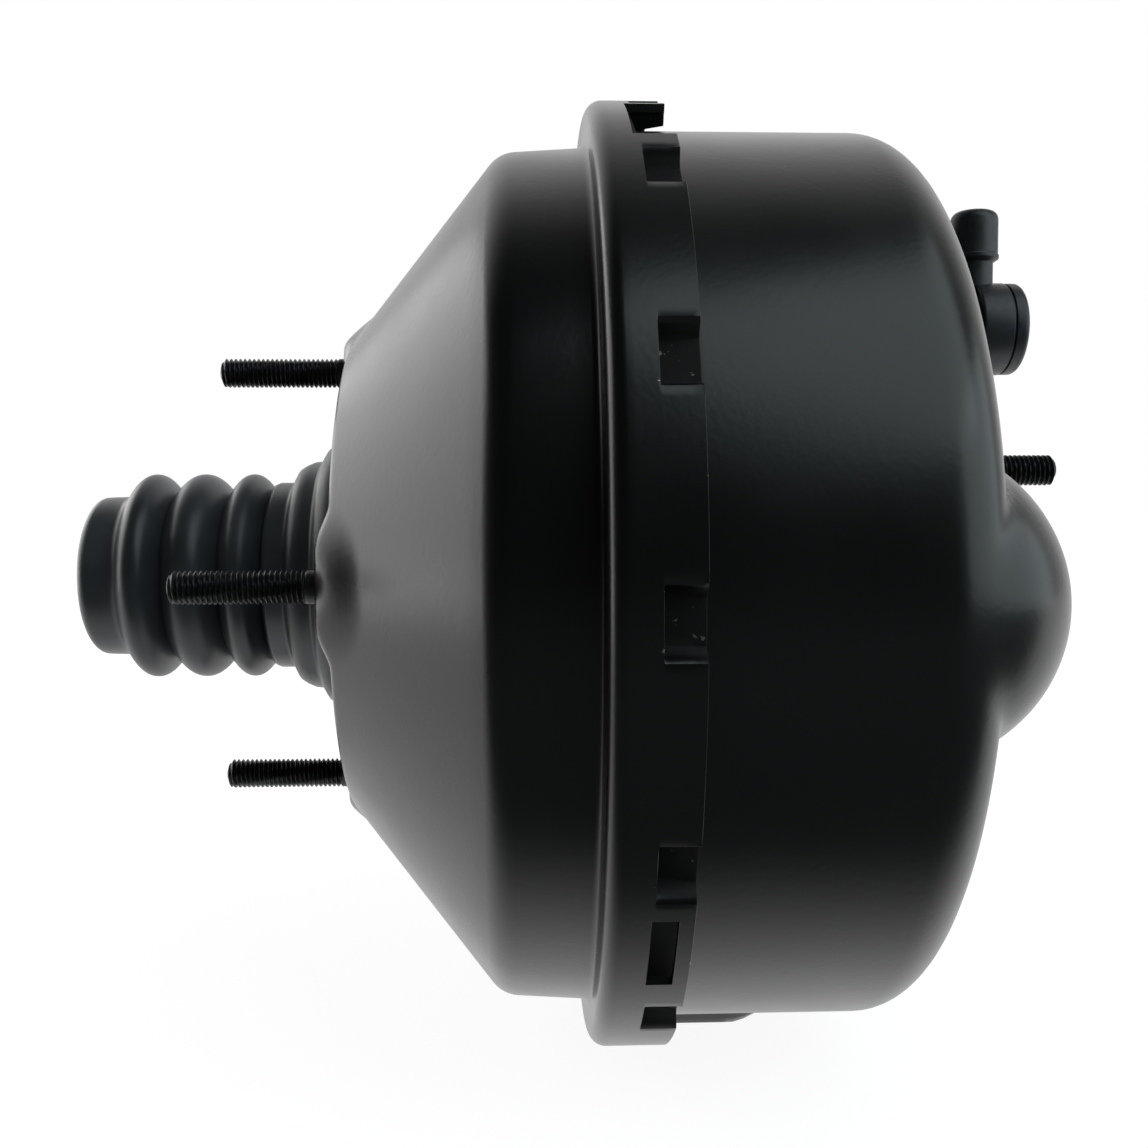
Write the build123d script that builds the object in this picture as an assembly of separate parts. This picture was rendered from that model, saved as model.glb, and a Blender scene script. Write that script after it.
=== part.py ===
from build123d import *
from math import cos, radians, sin
import os

os.makedirs("parts", exist_ok=True)

# Tandem brake booster (vacuum servo), in millimetres. The axis is X: the pedal is at -X, the master
# cylinder at +X, and +Z is up. The origin is on the axis, in the plane of the four stud pads that bear
# on the bulkhead. Outlines are written as (x, radius) and spun about the axis.

# ---- fits ----------------------------------------------------------------------------------------
running_gap = 0.05        # radial, a rigid piece that slides or turns in another
lip_gap = 0.3             # a rubber lip and the sleeve that slides through it
free_gap = 0.3            # axial, pieces of different bodies that only meet in use
seat_gap = 0.1            # a piece dropped into its seat
thread_r = 4.0            # M8 studs

# ---- pressed shells ------------------------------------------------------------------------------
sheet = 2.0
pad_height = 3.0          # stud pads stand this far off the rear plate
plate_r = 63.7
shoulder_x = 42.5
shoulder_r = 112.4
flange_x = 64.0
rear_wall_r = 113.8
skirt_r = 125.0
skirt_length = 19.7
neck_r = 24.0
neck_reach = 14.0         # in front of the pads' plane, toward the pedal
front_wall_r = 117.9
face_x = 145.5
corner_r = 15.0
boss_r = 52.0             # raised flat for the master cylinder
boss_height = 16.2
boss_flare = 8.0          # run-out of the boss's wall
recess_r = 21.0           # takes the tail of the master cylinder
recess_depth = 12.0
recess_round = 1.0
seal_hole_r = 11.0
bulge_height = 4.7
bulge_gap = 1.0           # between the tabs and the bulge
bulge_end_x = 103.0
bulge_run_out = 14.5
bulge_angle = 26.0
dome_r = 36.0
dome_height = 20.5
dome_y = -81.0
dome_z = -2.6

# ---- joint between the shells, stacked along the axis --------------------------------------------
rear_bead = 3.0
divider_sheet = 1.4
front_bead = 1.8
bead_r = 122.0            # outer radius of all that the skirt encloses
bead_inset = 1.2          # rear bead, clear of the bend of the skirt
lock_count = 15
lock_width = 14.0
lock_relief = 0.4
lock_bend = 1.0
lock_tip_gap = 0.7
flange_round = 0.6        # less than the gap under a tab's tip
lock_turn = 181.3         # degrees about the axis from +Y to the first lock
slot_length = 22.0
slot_width = 6.4
slot_turn = 216.0

# ---- studs and the plates that carry them --------------------------------------------------------
rear_stud_pcd = 112.0
rear_stud_reach = 35.4
stud_head_r = 7.5
stud_head = 3.0
stud_round = 1.5
shoulder_stud_r = 4.4     # pressed-in part of a stud, below the face it stands on
backing = 3.0
pad_top_r = 12.0
pad_foot_r = 16.0
pad_depth = 11.0
rear_backing_r = 28.5
front_stud_pitch = 79.2
front_stud_reach = 26.0
front_stud_turn = 135.0   # degrees about the axis from +Y
front_backing_r = 34.0
front_backing_ear_r = 9.5

# ---- guide and seal in the neck ------------------------------------------------------------------
bush_x = -13.8
bush_length = 3.4
neck_seal_length = 7.4
retainer_sheet = 1.2

# ---- rubber boot ---------------------------------------------------------------------------------
boot_wall = 1.6
boot_end_x = -71.0
boot_end_r = 21.8
boot_peak_r = 28.0
boot_valley_r = 22.0
boot_crest = 4.0          # width of the crest of a fold
boot_peak_x = -54.8
fold_pitch = 14.6
fold_count = 3
boot_flare_r = 38.0
boot_grip_x = -18.5
boot_end_round = 7.0
boot_hub = 5.0
boot_hole_gap = 0.4

# ---- valve body and what moves in it -------------------------------------------------------------
tube_r = 18.0
tube_bore_r = 14.0
tube_end_x = -58.0
tube_floor_x = -2.0
hub_r = 30.0
hub_x = 18.5
hub_thick = 4.5
sleeve_r = 21.0
sleeve_end_x = 76.0
spigot_r = 19.0
spigot_end_x = 86.0
plunger_r = 6.0
plunger_head_r = 8.6
plunger_head = 2.4
plunger_x = -5.0
plunger_travel = 2.0
plunger_end_x = 60.0
piston_r = 8.0
piston_thick = 5.5
cup_r = 15.0
cup_x = 68.0
disc_thick = 7.0
rod_head = 4.0
key_x = 5.3
key_thick = 3.2
key_width = 13.0
key_reach = 26.5
key_neck_r = 4.0
key_prong = 7.0
ball_r = 3.8
ball_x = -1.0
rod_r = 4.0
rod_neck_r = 2.6
rod_tail_x = -72.5
rod_bore_r = 2.5
rod_bore = 12.0
out_rod_r = 5.0
out_rod_end_x = 158.0
screw_r = 3.0
screw_head_r = 4.5
screw_head = 9.0
rod_hole_r = 6.8          # filter, felt and poppet, round the tilting input rod
rod_collar_x = -39.2
rod_collar = 1.5
rod_collar_r = 5.5
seat_r = 9.6              # vacuum seat that the poppet lands on
seat_land = 1.2
seat_height = 2.9
port_r = 1.4
port_place_r = 12.4
snap_x = 78.7
snap_thick = 1.5
snap_depth = 1.0
snap_rise = 4.5
hex_height = 3.0
screw_tip_r = 3.6
poppet_clamp_x = -23.4
poppet_clamp = 5.0
poppet_bead = 2.4
poppet_bead_r = 12.5
poppet_neck_r = 9.2
poppet_face_x = -5.4
poppet_face = 3.1
poppet_face_r = 12.9
felt_length = 6.0
filter_length = 8.0

# ---- power pistons and diaphragms ----------------------------------------------------------------
piston_sheet = 1.5
membrane = 1.5
membrane_gap = 1.5        # to the shell's wall
inner_bead = 4.5
rear_flat_r = 62.0
rear_rim_r = 99.0
rear_rim_rise = 24.0
front_flat_r = 58.0
front_rim_r = 97.0
front_rim_rise = 18.0
rim_lip = 6.0
fold_x = 104.0            # where the front membrane turns back
divider_flat_x = 61.0
divider_flat_r = 64.0
divider_rim_x = 89.5
divider_wall_r = 105.5
divider_collar_r = 24.0
divider_collar = 8.5
divider_seal_length = 4.5

# ---- springs -------------------------------------------------------------------------------------
wire_sides = 4            # a coil's section, kept plain
return_wire = 4.0
return_spring_r = 28.0    # of the wire's centre
return_turns = 5.5
input_wire = 1.4
input_spring_r = 8.2
input_spring_turns = 5.0
poppet_wire = 0.9
poppet_spring_r = 11.4
poppet_spring_turns = 3.0
check_wire = 0.7
check_spring_r = 4.6
check_spring_turns = 5.0

# ---- check valve ---------------------------------------------------------------------------------
valve_z = 68.6
valve_pad_height = 15.0   # the grommet's seat above the front face
valve_pad_r = 14.5
valve_pad_foot_r = 18.0
valve_stem_r = 6.0
valve_bore_r = 3.0
valve_barrel_r = 9.6
valve_barrel_x = 165.0
valve_seat_x = 171.2
valve_drum_r = 12.8
valve_drum_x = 174.3
valve_drum = 8.7
valve_cap = 4.4
valve_wall = 2.0
spigot_x = 175.6
spigot_neck_r = 5.2
spigot_neck_z = 87.6
spigot_head_r = 6.6
spigot_tip_z = 101.4
spigot_bore_r = 3.0
check_disc_r = 6.6
check_disc = 1.6
cap_step = 0.5
cap_round = 1.5
cap_plug = 3.0
spigot_round = 2.5
grommet_r = 11.8
grommet_hole_r = 9.0      # in the shell
grommet_lip = 2.6

# ---- worked out from the above -------------------------------------------------------------------
plate_x = pad_height
skirt_end_x = flange_x + skirt_length
flange_inner_x = flange_x + sheet
divider_x = flange_inner_x + rear_bead
front_bead_x = divider_x + divider_sheet
front_flange_x = front_bead_x + front_bead
lock_x = front_flange_x + sheet
boss_x = face_x + boss_height
valve_pad_x = face_x + valve_pad_height
recess_x = boss_x - recess_depth
backing_x = boss_x - sheet - backing
dome_x = face_x + dome_height - dome_r
neck_inner_r = neck_r - sheet
collar_end_x = divider_flat_x + divider_collar


def spun(*points):
    """A closed outline of (x, radius) points, revolved about the axis."""
    return revolve(make_face(Polyline(*points, close=True)), Axis.X)


def ring(x_from, x_to, r_in, r_out):
    """A plain ring or, with no inner radius, a disc."""
    return spun((x_from, r_in), (x_to, r_in), (x_to, r_out), (x_from, r_out))


def pressed(line, thickness, side=Side.RIGHT):
    """Sheet of even thickness on one side of an open line, revolved about the axis."""
    section = offset(line, thickness, side=side, closed=True, kind=Kind.INTERSECTION)
    return revolve(make_face(section), Axis.X)


def bar(x_from, x_to, r, y=0.0, z=0.0):
    """A round bar along the axis."""
    low = (Align.CENTER, Align.CENTER, Align.MIN)
    return Pos(x_from, y, z) * Rot(0, 90, 0) * Cylinder(r, x_to - x_from, align=low)


def coil(x_from, x_to, r, wire, turns):
    """A compression spring along the axis, its end coils just inside both ends."""
    height = x_to - x_from - wire
    path = Helix(pitch=height / turns, height=height, radius=r)
    section = Plane(path @ 0, z_dir=path % 0) * RegularPolygon(wire / 2, wire_sides)
    return Pos(x_from + wire / 2, 0, 0) * Rot(0, 90, 0) * sweep(section, path, is_frenet=True)


def around(count, start=0.0):
    """Evenly spaced turns about the axis."""
    return [Rot(start + 360.0 / count * i, 0, 0) for i in range(count)]


def on_circle(diameter, turn):
    """(y, z) of a point on a circle about the axis, its turn in degrees from +Y."""
    return diameter / 2 * cos(radians(turn)), diameter / 2 * sin(radians(turn))


# ---- shells --------------------------------------------------------------------------------------
rear_stud_places = [on_circle(rear_stud_pcd, turn) for turn in (0, 90, 180, 270)]
front_stud_places = [on_circle(front_stud_pitch, front_stud_turn + turn) for turn in (0, 180)]


def room_in(line):
    """All that lies inside the sheet of a shell whose outer line is given."""
    inner = offset(line, sheet, side=Side.RIGHT, closed=False)
    start, end = inner @ 0, inner @ 1
    walls = Polyline(start, (start.X, 0), (end.X, 0), end)
    return revolve(make_face([inner, walls]), Axis.X)


def rear_line():
    """Outer line of the rear shell, from its neck to the free edge of its skirt."""
    return FilletPolyline(
        (-neck_reach, neck_r), (plate_x, neck_r), (plate_x, plate_r), (shoulder_x, shoulder_r),
        (flange_x, rear_wall_r), (flange_x, skirt_r), (skirt_end_x, skirt_r),
        radius=[3.0, 5.0, 9.0, 2.0, 4.0],
    )


def front_line():
    """Outer line of the front shell, from its flange to the hole for the rod seal."""
    return FilletPolyline(
        (lock_x, bead_r), (lock_x, front_wall_r), (face_x, front_wall_r), (face_x, boss_r + boss_flare),
        (boss_x, boss_r), (boss_x, recess_r), (recess_x, recess_r), (recess_x, seal_hole_r),
        radius=[flange_round, corner_r, 3.0, 3.0, recess_round, sheet + 0.5],
    )


def pad(y, z, skin):
    """Outer form of a stud pad, inset by skin, running back into the cone of the rear shell."""
    depth = pad_depth - skin
    low = (Align.CENTER, Align.CENTER, Align.MIN)
    return Pos(skin, y, z) * Rot(0, 90, 0) * Cone(pad_top_r - skin, pad_foot_r - skin, depth, align=low)


def lock_tab():
    """One tab: the skirt's own sheet, bent inward behind the front shell's flange."""
    bend_x = lock_x - lock_bend
    bend_r = skirt_r - sheet - lock_bend
    tip_r = front_wall_r + lock_tip_gap
    front_x = lock_x + sheet
    line = [
        Line((bend_x, skirt_r), (bend_x, skirt_r - sheet)),
        RadiusArc((bend_x, skirt_r - sheet), (lock_x, bend_r), lock_bend),
        Line((lock_x, bend_r), (lock_x, tip_r)),
        Line((lock_x, tip_r), (front_x, tip_r)),
        Line((front_x, tip_r), (front_x, bend_r)),
        RadiusArc((front_x, bend_r), (bend_x, skirt_r), -lock_bend - sheet),
    ]
    return extrude(make_face(line), lock_width / 2, both=True)


def rear_shell():
    shell = pressed(rear_line(), sheet)
    room = room_in(rear_line())
    for y, z in rear_stud_places:
        hollow = pad(y, z, sheet)
        shell = shell - hollow + (pad(y, z, 0) - hollow - room)
        shell -= bar(-1, sheet + 1, shoulder_stud_r + seat_gap, y, z)
    low = (Align.MIN, Align.CENTER, Align.CENTER)
    bend_x = lock_x - lock_bend
    window = Pos(bend_x, skirt_r, 0) * Box(
        skirt_end_x - bend_x + 1, 3 * sheet, lock_width + 2 * lock_relief, align=low)
    for turn in around(lock_count, lock_turn):
        shell -= turn * window
    for turn in around(lock_count, lock_turn):
        shell += turn * lock_tab()
    slot = Pos(lock_x, skirt_r, 0) * Box(slot_width, 3 * sheet, slot_length, align=low)
    return shell - Rot(slot_turn, 0, 0) * slot


def bulge(skin):
    """Outer form of the low bulge at the bottom of the front shell, inset by skin."""
    top = front_wall_r + bulge_height - skin
    base = front_wall_r - 2 * sheet
    start_x = lock_x + sheet + bulge_gap
    end_x = bulge_end_x + bulge_run_out
    outline = Polyline(
        (start_x + skin, base), (start_x + skin, top), (bulge_end_x, top),
        (end_x - skin, front_wall_r - skin), (end_x - skin, base), close=True)
    half = bulge_angle / 2 - skin / 2
    return Rot(-90 - half, 0, 0) * revolve(make_face(outline), Axis.X, 2 * half)


def valve_pad(skin):
    """Outer form of the raised seat for the check valve's grommet, inset by skin."""
    start_x = face_x - 2 * sheet
    height = valve_pad_x - skin - start_x
    low = (Align.CENTER, Align.CENTER, Align.MIN)
    cone = Cone(valve_pad_foot_r - skin, valve_pad_r - skin, height, align=low)
    return Pos(start_x, 0, valve_z) * Rot(0, 90, 0) * cone


def front_shell():
    shell = pressed(front_line(), sheet)
    room = room_in(front_line())
    span = (face_x - corner_r - 6, face_x + dome_height + 1)
    centre = Pos(dome_x, dome_y, dome_z)
    inside = (centre * Sphere(dome_r - sheet)) & bar(*span, front_wall_r - sheet)
    dome = ((centre * Sphere(dome_r)) & bar(*span, front_wall_r)) - inside - room
    shell = shell - inside + dome
    shell = shell - bulge(sheet) + (bulge(0) - bulge(sheet) - room)
    shell = shell - valve_pad(sheet) + (valve_pad(0) - valve_pad(sheet) - room)
    for y, z in front_stud_places:
        shell -= bar(boss_x - sheet - 1, boss_x + 1, shoulder_stud_r + seat_gap, y, z)
    return shell - bar(valve_pad_x - sheet - 1, valve_pad_x + 1, grommet_hole_r, 0, valve_z)


# ---- studs and backing plates --------------------------------------------------------------------
def rear_reinforcement():
    inner_x = plate_x + sheet
    plate = ring(inner_x, inner_x + backing, rear_backing_r, plate_r - sheet)
    for y, z in rear_stud_places:
        plate += pad(y, z, sheet + seat_gap) & bar(0, inner_x + backing / 2, plate_r - 2 * sheet)
    for y, z in rear_stud_places:
        plate -= bar(0, inner_x + backing + 1, shoulder_stud_r + seat_gap, y, z)
    return plate


def front_reinforcement():
    plate = bar(backing_x, backing_x + backing, front_backing_r)
    for y, z in front_stud_places:
        ear = bar(backing_x, backing_x + backing, front_backing_ear_r, y, z)
        plate += ear
    plate -= bar(backing_x - 1, boss_x, recess_r + recess_round + 2 * sheet - 0.1)
    for y, z in front_stud_places:
        plate -= bar(backing_x - 1, boss_x, shoulder_stud_r + seat_gap, y, z)
    return plate


def stud(grip, reach):
    """A stud from its head's seat along +X: its pressed-in shoulder, then its thread with a rounded tip."""
    shank = bar(0, grip + reach, thread_r)
    shank = fillet(shank.edges().sort_by(Axis.X)[-1], stud_round)
    return shank + bar(0, grip, shoulder_stud_r) + bar(-stud_head, 0, stud_head_r)


def rear_studs():
    seat_x = plate_x + sheet + backing
    one = Pos(seat_x, 0, 0) * Rot(0, 180, 0) * stud(seat_x, rear_stud_reach)
    return Compound(children=[Pos(0, y, z) * one for y, z in rear_stud_places])


def master_cylinder_studs():
    one = Pos(backing_x, 0, 0) * stud(boss_x - backing_x, front_stud_reach)
    return Compound(children=[Pos(0, y, z) * one for y, z in front_stud_places])


# ---- neck of the rear shell and boot -------------------------------------------------------------
def neck_bush():
    return ring(bush_x, bush_x + bush_length, tube_r + running_gap, neck_inner_r)


def neck_seal():
    start = bush_x + bush_length
    return ring(start, start + neck_seal_length, tube_r + lip_gap, neck_inner_r)


def neck_seal_retainer():
    start = bush_x + bush_length + neck_seal_length
    return ring(start, start + retainer_sheet, tube_r + 1, neck_inner_r)


def boot():
    points = [
        (boot_end_x, rod_r + boot_hole_gap), (boot_end_x, boot_end_r - boot_end_round),
        (boot_end_x + boot_end_round, boot_end_r)]
    for fold in range(fold_count):
        peak_x = boot_peak_x + fold * fold_pitch
        points += [
            (peak_x - fold_pitch / 2, boot_valley_r), (peak_x - boot_crest / 2, boot_peak_r),
            (peak_x + boot_crest / 2, boot_peak_r)]
    mouth_r = neck_r + boot_wall
    points += [
        (boot_grip_x, mouth_r), (-neck_reach + 2, mouth_r), (-2, boot_flare_r), (plate_x, boot_flare_r)]
    skin = pressed(Polyline(*points), boot_wall)
    hub = ring(boot_end_x, boot_end_x + boot_hub, rod_r + boot_hole_gap, rod_r + boot_hole_gap + boot_wall)
    return skin + hub


# ---- divider, pistons and diaphragms -------------------------------------------------------------
def divider_plate():
    line = Polyline(
        (divider_x, bead_r), (divider_x, divider_wall_r), (divider_rim_x, divider_wall_r),
        (divider_flat_x, divider_flat_r), (divider_flat_x, divider_collar_r),
        (collar_end_x, divider_collar_r))
    return pressed(line, divider_sheet, Side.LEFT)


def divider_seal():
    return ring(divider_flat_x + 0.5, divider_flat_x + divider_seal_length,
                sleeve_r + lip_gap, divider_collar_r)


def divider_bush():
    return ring(divider_flat_x + divider_seal_length, collar_end_x, sleeve_r + running_gap, divider_collar_r)


def rear_cone():
    """Rear face of the rear piston plate, from the valve body to its rim."""
    x = hub_x - piston_sheet
    return [(x, rear_flat_r), (x + rear_rim_rise, rear_rim_r)]


def front_cone():
    """Rear face of the front piston plate, from the sleeve to its rim."""
    return [(sleeve_end_x, front_flat_r), (sleeve_end_x + front_rim_rise, front_rim_r)]


def piston_plate(cone, hole_r):
    (flat_x, _), (rim_x, rim_r) = cone
    line = Polyline((flat_x, hole_r), *cone, (rim_x + rim_lip, rim_r))
    return pressed(line, piston_sheet)


def rear_piston_plate():
    return piston_plate(rear_cone(), tube_r + seat_gap)


def front_piston_plate():
    return piston_plate(front_cone(), spigot_r + seat_gap)


def rear_diaphragm():
    (flat_x, flat_r), (rim_x, rim_r) = [(x - seat_gap, r) for x, r in rear_cone()]
    wall_r = rear_wall_r - sheet - membrane - membrane_gap
    meet_x = rim_x + (wall_r - rim_r) * (rim_x - flat_x) / (rim_r - flat_r)
    turn_x = divider_x - 0.5
    line = Polyline(
        (flat_x, tube_r), (flat_x, flat_r), (meet_x, wall_r), (turn_x, wall_r),
        (turn_x, front_wall_r + 1))
    skin = pressed(line, membrane, Side.LEFT)
    bead = ring(flange_inner_x, divider_x, front_wall_r + 0.5, bead_r - bead_inset)
    return skin + bead + ring(flat_x - inner_bead, flat_x, tube_r, tube_r + inner_bead)


def front_diaphragm():
    (flat_x, flat_r), (rim_x, rim_r) = [(x - seat_gap, r + seat_gap) for x, r in front_cone()]
    wall_r = front_wall_r - sheet - membrane_gap
    turn_r = (wall_r - rim_r) / 2
    turn_x = front_flange_x - 0.1
    line = Polyline(
        (flat_x, sleeve_r), (flat_x, flat_r), (rim_x, rim_r), (fold_x, rim_r),
        (fold_x + turn_r, rim_r + turn_r / 2), (fold_x + turn_r, wall_r - turn_r / 2),
        (fold_x, wall_r), (turn_x, wall_r), (turn_x, front_wall_r + 1))
    skin = pressed(line, membrane, Side.LEFT)
    bead = ring(front_bead_x, front_flange_x, front_wall_r + 0.5, bead_r)
    return skin + bead + ring(flat_x - inner_bead, flat_x, sleeve_r, sleeve_r + inner_bead)


# ---- valve body ----------------------------------------------------------------------------------
def valve_body():
    hub_end = hub_x + hub_thick
    body = spun(
        (tube_end_x, 0), (tube_end_x, tube_r), (hub_x, tube_r), (hub_x, hub_r), (hub_end, hub_r),
        (hub_end, sleeve_r), (sleeve_end_x, sleeve_r), (sleeve_end_x, spigot_r),
        (snap_x, spigot_r), (snap_x, spigot_r - snap_depth), (snap_x + snap_thick, spigot_r - snap_depth),
        (snap_x + snap_thick, spigot_r), (spigot_end_x, spigot_r), (spigot_end_x, 0))
    body -= bar(tube_end_x - 1, tube_floor_x, tube_bore_r)
    body += ring(tube_floor_x - seat_height, tube_floor_x, seat_r, seat_r + seat_land)
    body -= bar(tube_floor_x - 1, tube_floor_x + plunger_head + plunger_travel - 1, plunger_head_r + 0.4)
    body -= bar(tube_floor_x, cup_x, plunger_r + running_gap)
    body -= bar(plunger_end_x - free_gap, cup_x, piston_r + running_gap)
    body -= bar(cup_x, spigot_end_x + 1, cup_r)
    slot_height = tube_r + key_prong + 2
    slot = Box(key_thick + 2 * seat_gap, key_width + 2 * seat_gap, slot_height,
               align=(Align.MIN, Align.CENTER, Align.MAX))
    body -= Pos(key_x - seat_gap, 0, key_prong + seat_gap) * slot
    for turn in around(4, 45):
        body -= turn * bar(tube_floor_x - 1, hub_end + 2 * port_r, port_r, port_place_r, 0)
        across = Rot(90, 0, 0) * Cylinder(port_r, hub_r, align=(Align.CENTER, Align.CENTER, Align.MAX))
        body -= turn * Pos(hub_end + 2 * port_r, port_place_r, 0) * across
    return body


def stop_key():
    key = Box(key_thick, key_width, key_reach + key_prong, align=(Align.MIN, Align.CENTER, Align.MIN))
    key = Pos(key_x, 0, -key_reach) * key
    gap_r = key_neck_r + 2 * seat_gap
    gap = Box(key_thick + 2, 2 * gap_r, key_prong + 1, align=(Align.MIN, Align.CENTER, Align.MIN))
    return key - Pos(key_x - 1, 0, 0) * gap - bar(key_x - 1, key_x + key_thick + 1, gap_r)


def valve_plunger():
    groove_from = key_x - plunger_travel - seat_gap
    groove_to = key_x + key_thick + seat_gap
    head_end = plunger_x + plunger_head
    plunger = spun(
        (plunger_x, 0), (plunger_x, plunger_head_r), (head_end, plunger_head_r), (head_end, plunger_r),
        (groove_from, plunger_r), (groove_from, key_neck_r), (groove_to, key_neck_r),
        (groove_to, plunger_r), (plunger_end_x, plunger_r), (plunger_end_x, 0))
    plunger -= Pos(ball_x, 0, 0) * Sphere(ball_r + running_gap)
    return plunger - bar(plunger_x - 1, ball_x, rod_neck_r + 0.5)


def reaction_piston():
    return bar(plunger_end_x, plunger_end_x + piston_thick, piston_r)


def input_rod():
    rod = bar(rod_tail_x, ball_x - 2 * ball_r, rod_r)
    rod = fillet(rod.edges().sort_by(Axis.X)[0], 1.0)
    rod += bar(ball_x - 2 * ball_r, ball_x, rod_neck_r) + Pos(ball_x, 0, 0) * Sphere(ball_r)
    rod += bar(rod_collar_x, rod_collar_x + rod_collar, rod_collar_r)
    return rod - bar(rod_tail_x - 1, rod_tail_x + rod_bore, rod_bore_r)


def input_spring_seat():
    start = rod_collar_x + rod_collar
    return ring(start, start + retainer_sheet, rod_r + seat_gap, input_spring_r + input_wire)


def input_return_spring():
    start = rod_collar_x + rod_collar + retainer_sheet
    return coil(start, poppet_clamp_x, input_spring_r, input_wire, input_spring_turns)


def poppet_retainer():
    bead_x = poppet_clamp_x + retainer_sheet
    fit_r = tube_bore_r - running_gap
    return spun(
        (poppet_clamp_x, rod_hole_r), (bead_x, rod_hole_r), (bead_x, poppet_bead_r),
        (bead_x + poppet_clamp, poppet_bead_r), (bead_x + poppet_clamp, fit_r), (poppet_clamp_x, fit_r))


def poppet_valve():
    bead_x = poppet_clamp_x + retainer_sheet
    lip_x = bead_x + poppet_bead
    face_rear_x = poppet_face_x - poppet_face
    return spun(
        (bead_x, poppet_neck_r), (bead_x, poppet_bead_r), (lip_x, poppet_bead_r),
        (lip_x, poppet_neck_r + membrane), (face_rear_x, poppet_neck_r + membrane),
        (face_rear_x, poppet_face_r), (poppet_face_x, poppet_face_r), (poppet_face_x, rod_hole_r),
        (face_rear_x, rod_hole_r), (face_rear_x, poppet_neck_r))


def poppet_spring():
    lip_x = poppet_clamp_x + retainer_sheet + poppet_bead
    return coil(lip_x, poppet_face_x - poppet_face, poppet_spring_r, poppet_wire, poppet_spring_turns)


def filter_retainer():
    start = tube_end_x + 0.3
    return ring(start, start + retainer_sheet, rod_hole_r + 2, tube_bore_r - running_gap)


def silencer_felt():
    start = tube_end_x + 0.3 + retainer_sheet
    return ring(start, start + felt_length, rod_hole_r, tube_bore_r - seat_gap)


def air_filter():
    start = tube_end_x + 0.3 + retainer_sheet + felt_length
    return ring(start, start + filter_length, rod_hole_r, tube_bore_r - seat_gap)


# ---- output side ---------------------------------------------------------------------------------
def reaction_disc():
    return bar(cup_x, cup_x + disc_thick, cup_r - seat_gap)


def output_rod():
    head_x = cup_x + disc_thick
    rod = bar(head_x, head_x + rod_head, cup_r - seat_gap) + bar(head_x, out_rod_end_x, out_rod_r)
    return rod - bar(out_rod_end_x - rod_bore, out_rod_end_x + 1, screw_r + seat_gap / 2)


def output_rod_retainer():
    start = cup_x + disc_thick + rod_head
    return ring(start, start + retainer_sheet, out_rod_r + 3, cup_r - running_gap)


def output_rod_screw():
    shank = bar(out_rod_end_x - rod_bore + 1, out_rod_end_x + hex_height + 1, screw_r)
    hexagon = extrude(RegularPolygon(screw_head_r, 6), hex_height)
    head = Pos(out_rod_end_x, 0, 0) * Rot(0, 90, 0) * hexagon
    tip = bar(out_rod_end_x + hex_height, out_rod_end_x + screw_head, screw_tip_r)
    tip = fillet(tip.edges().sort_by(Axis.X)[-1], screw_tip_r - 1)
    return shank + head + tip


def front_seal():
    lip_r = out_rod_r + lip_gap
    back_x = recess_x - sheet
    flange_r = seal_hole_r + 3
    return spun(
        (back_x - 2, lip_r), (recess_x + 2, lip_r), (recess_x + 2, flange_r), (recess_x, flange_r),
        (recess_x, seal_hole_r), (back_x, seal_hole_r), (back_x, flange_r), (back_x - 2, flange_r))


def return_spring_seat():
    start = sleeve_end_x + piston_sheet
    line = Polyline(
        (start, spigot_r + seat_gap), (start, return_spring_r + return_wire),
        (start + 2 * return_wire, return_spring_r + return_wire))
    return pressed(line, retainer_sheet)


def piston_retaining_ring():
    return ring(snap_x, snap_x + snap_thick, spigot_r - snap_depth + seat_gap, spigot_r + snap_rise)


def piston_return_spring():
    start = sleeve_end_x + piston_sheet + retainer_sheet
    return coil(start, backing_x, return_spring_r, return_wire, return_turns)


# ---- check valve ---------------------------------------------------------------------------------
def at_valve(shape):
    return Pos(0, 0, valve_z) * shape


def check_valve_grommet():
    inner_x = valve_pad_x - sheet
    hole_r = valve_stem_r + running_gap
    return at_valve(spun(
        (inner_x - grommet_lip, hole_r), (inner_x - grommet_lip, grommet_hole_r + 1.5),
        (inner_x, grommet_hole_r + 1.5), (inner_x, grommet_hole_r),
        (valve_pad_x, grommet_hole_r), (valve_pad_x, grommet_r), (valve_pad_x + grommet_lip, grommet_r - 0.8),
        (valve_pad_x + grommet_lip, hole_r)))


def check_valve_body():
    drum_end = valve_drum_x + valve_drum
    tail_x = valve_pad_x - sheet - grommet_lip
    body = at_valve(spun(
        (tail_x - 3, 0), (tail_x - 3, valve_stem_r), (tail_x - seat_gap, valve_stem_r + 0.8),
        (tail_x - seat_gap, valve_stem_r), (valve_barrel_x, valve_stem_r),
        (valve_barrel_x, valve_barrel_r), (valve_drum_x, valve_barrel_r), (valve_drum_x, valve_drum_r),
        (drum_end, valve_drum_r), (drum_end, 0)))
    low = (Align.CENTER, Align.CENTER, Align.MIN)
    neck = Cylinder(spigot_neck_r, spigot_tip_z - valve_z, align=low)
    head = Cylinder(spigot_head_r, spigot_tip_z - spigot_neck_z, align=low)
    head = fillet(head.edges().sort_by(Axis.Z)[-1], spigot_round)
    head = chamfer(head.edges().sort_by(Axis.Z)[0], spigot_head_r - spigot_neck_r)
    body += Pos(spigot_x, 0, valve_z) * neck + Pos(spigot_x, 0, spigot_neck_z) * head
    body -= at_valve(bar(tail_x - 4, valve_seat_x, valve_bore_r))
    body -= at_valve(bar(valve_seat_x, valve_drum_x + valve_wall, valve_barrel_r - valve_wall))
    body -= at_valve(bar(valve_drum_x + valve_wall, drum_end + 1, valve_drum_r - valve_wall))
    bore = Cylinder(spigot_bore_r, spigot_tip_z - valve_z + 1, align=low)
    return body - Pos(spigot_x, 0, valve_z) * bore


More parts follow.
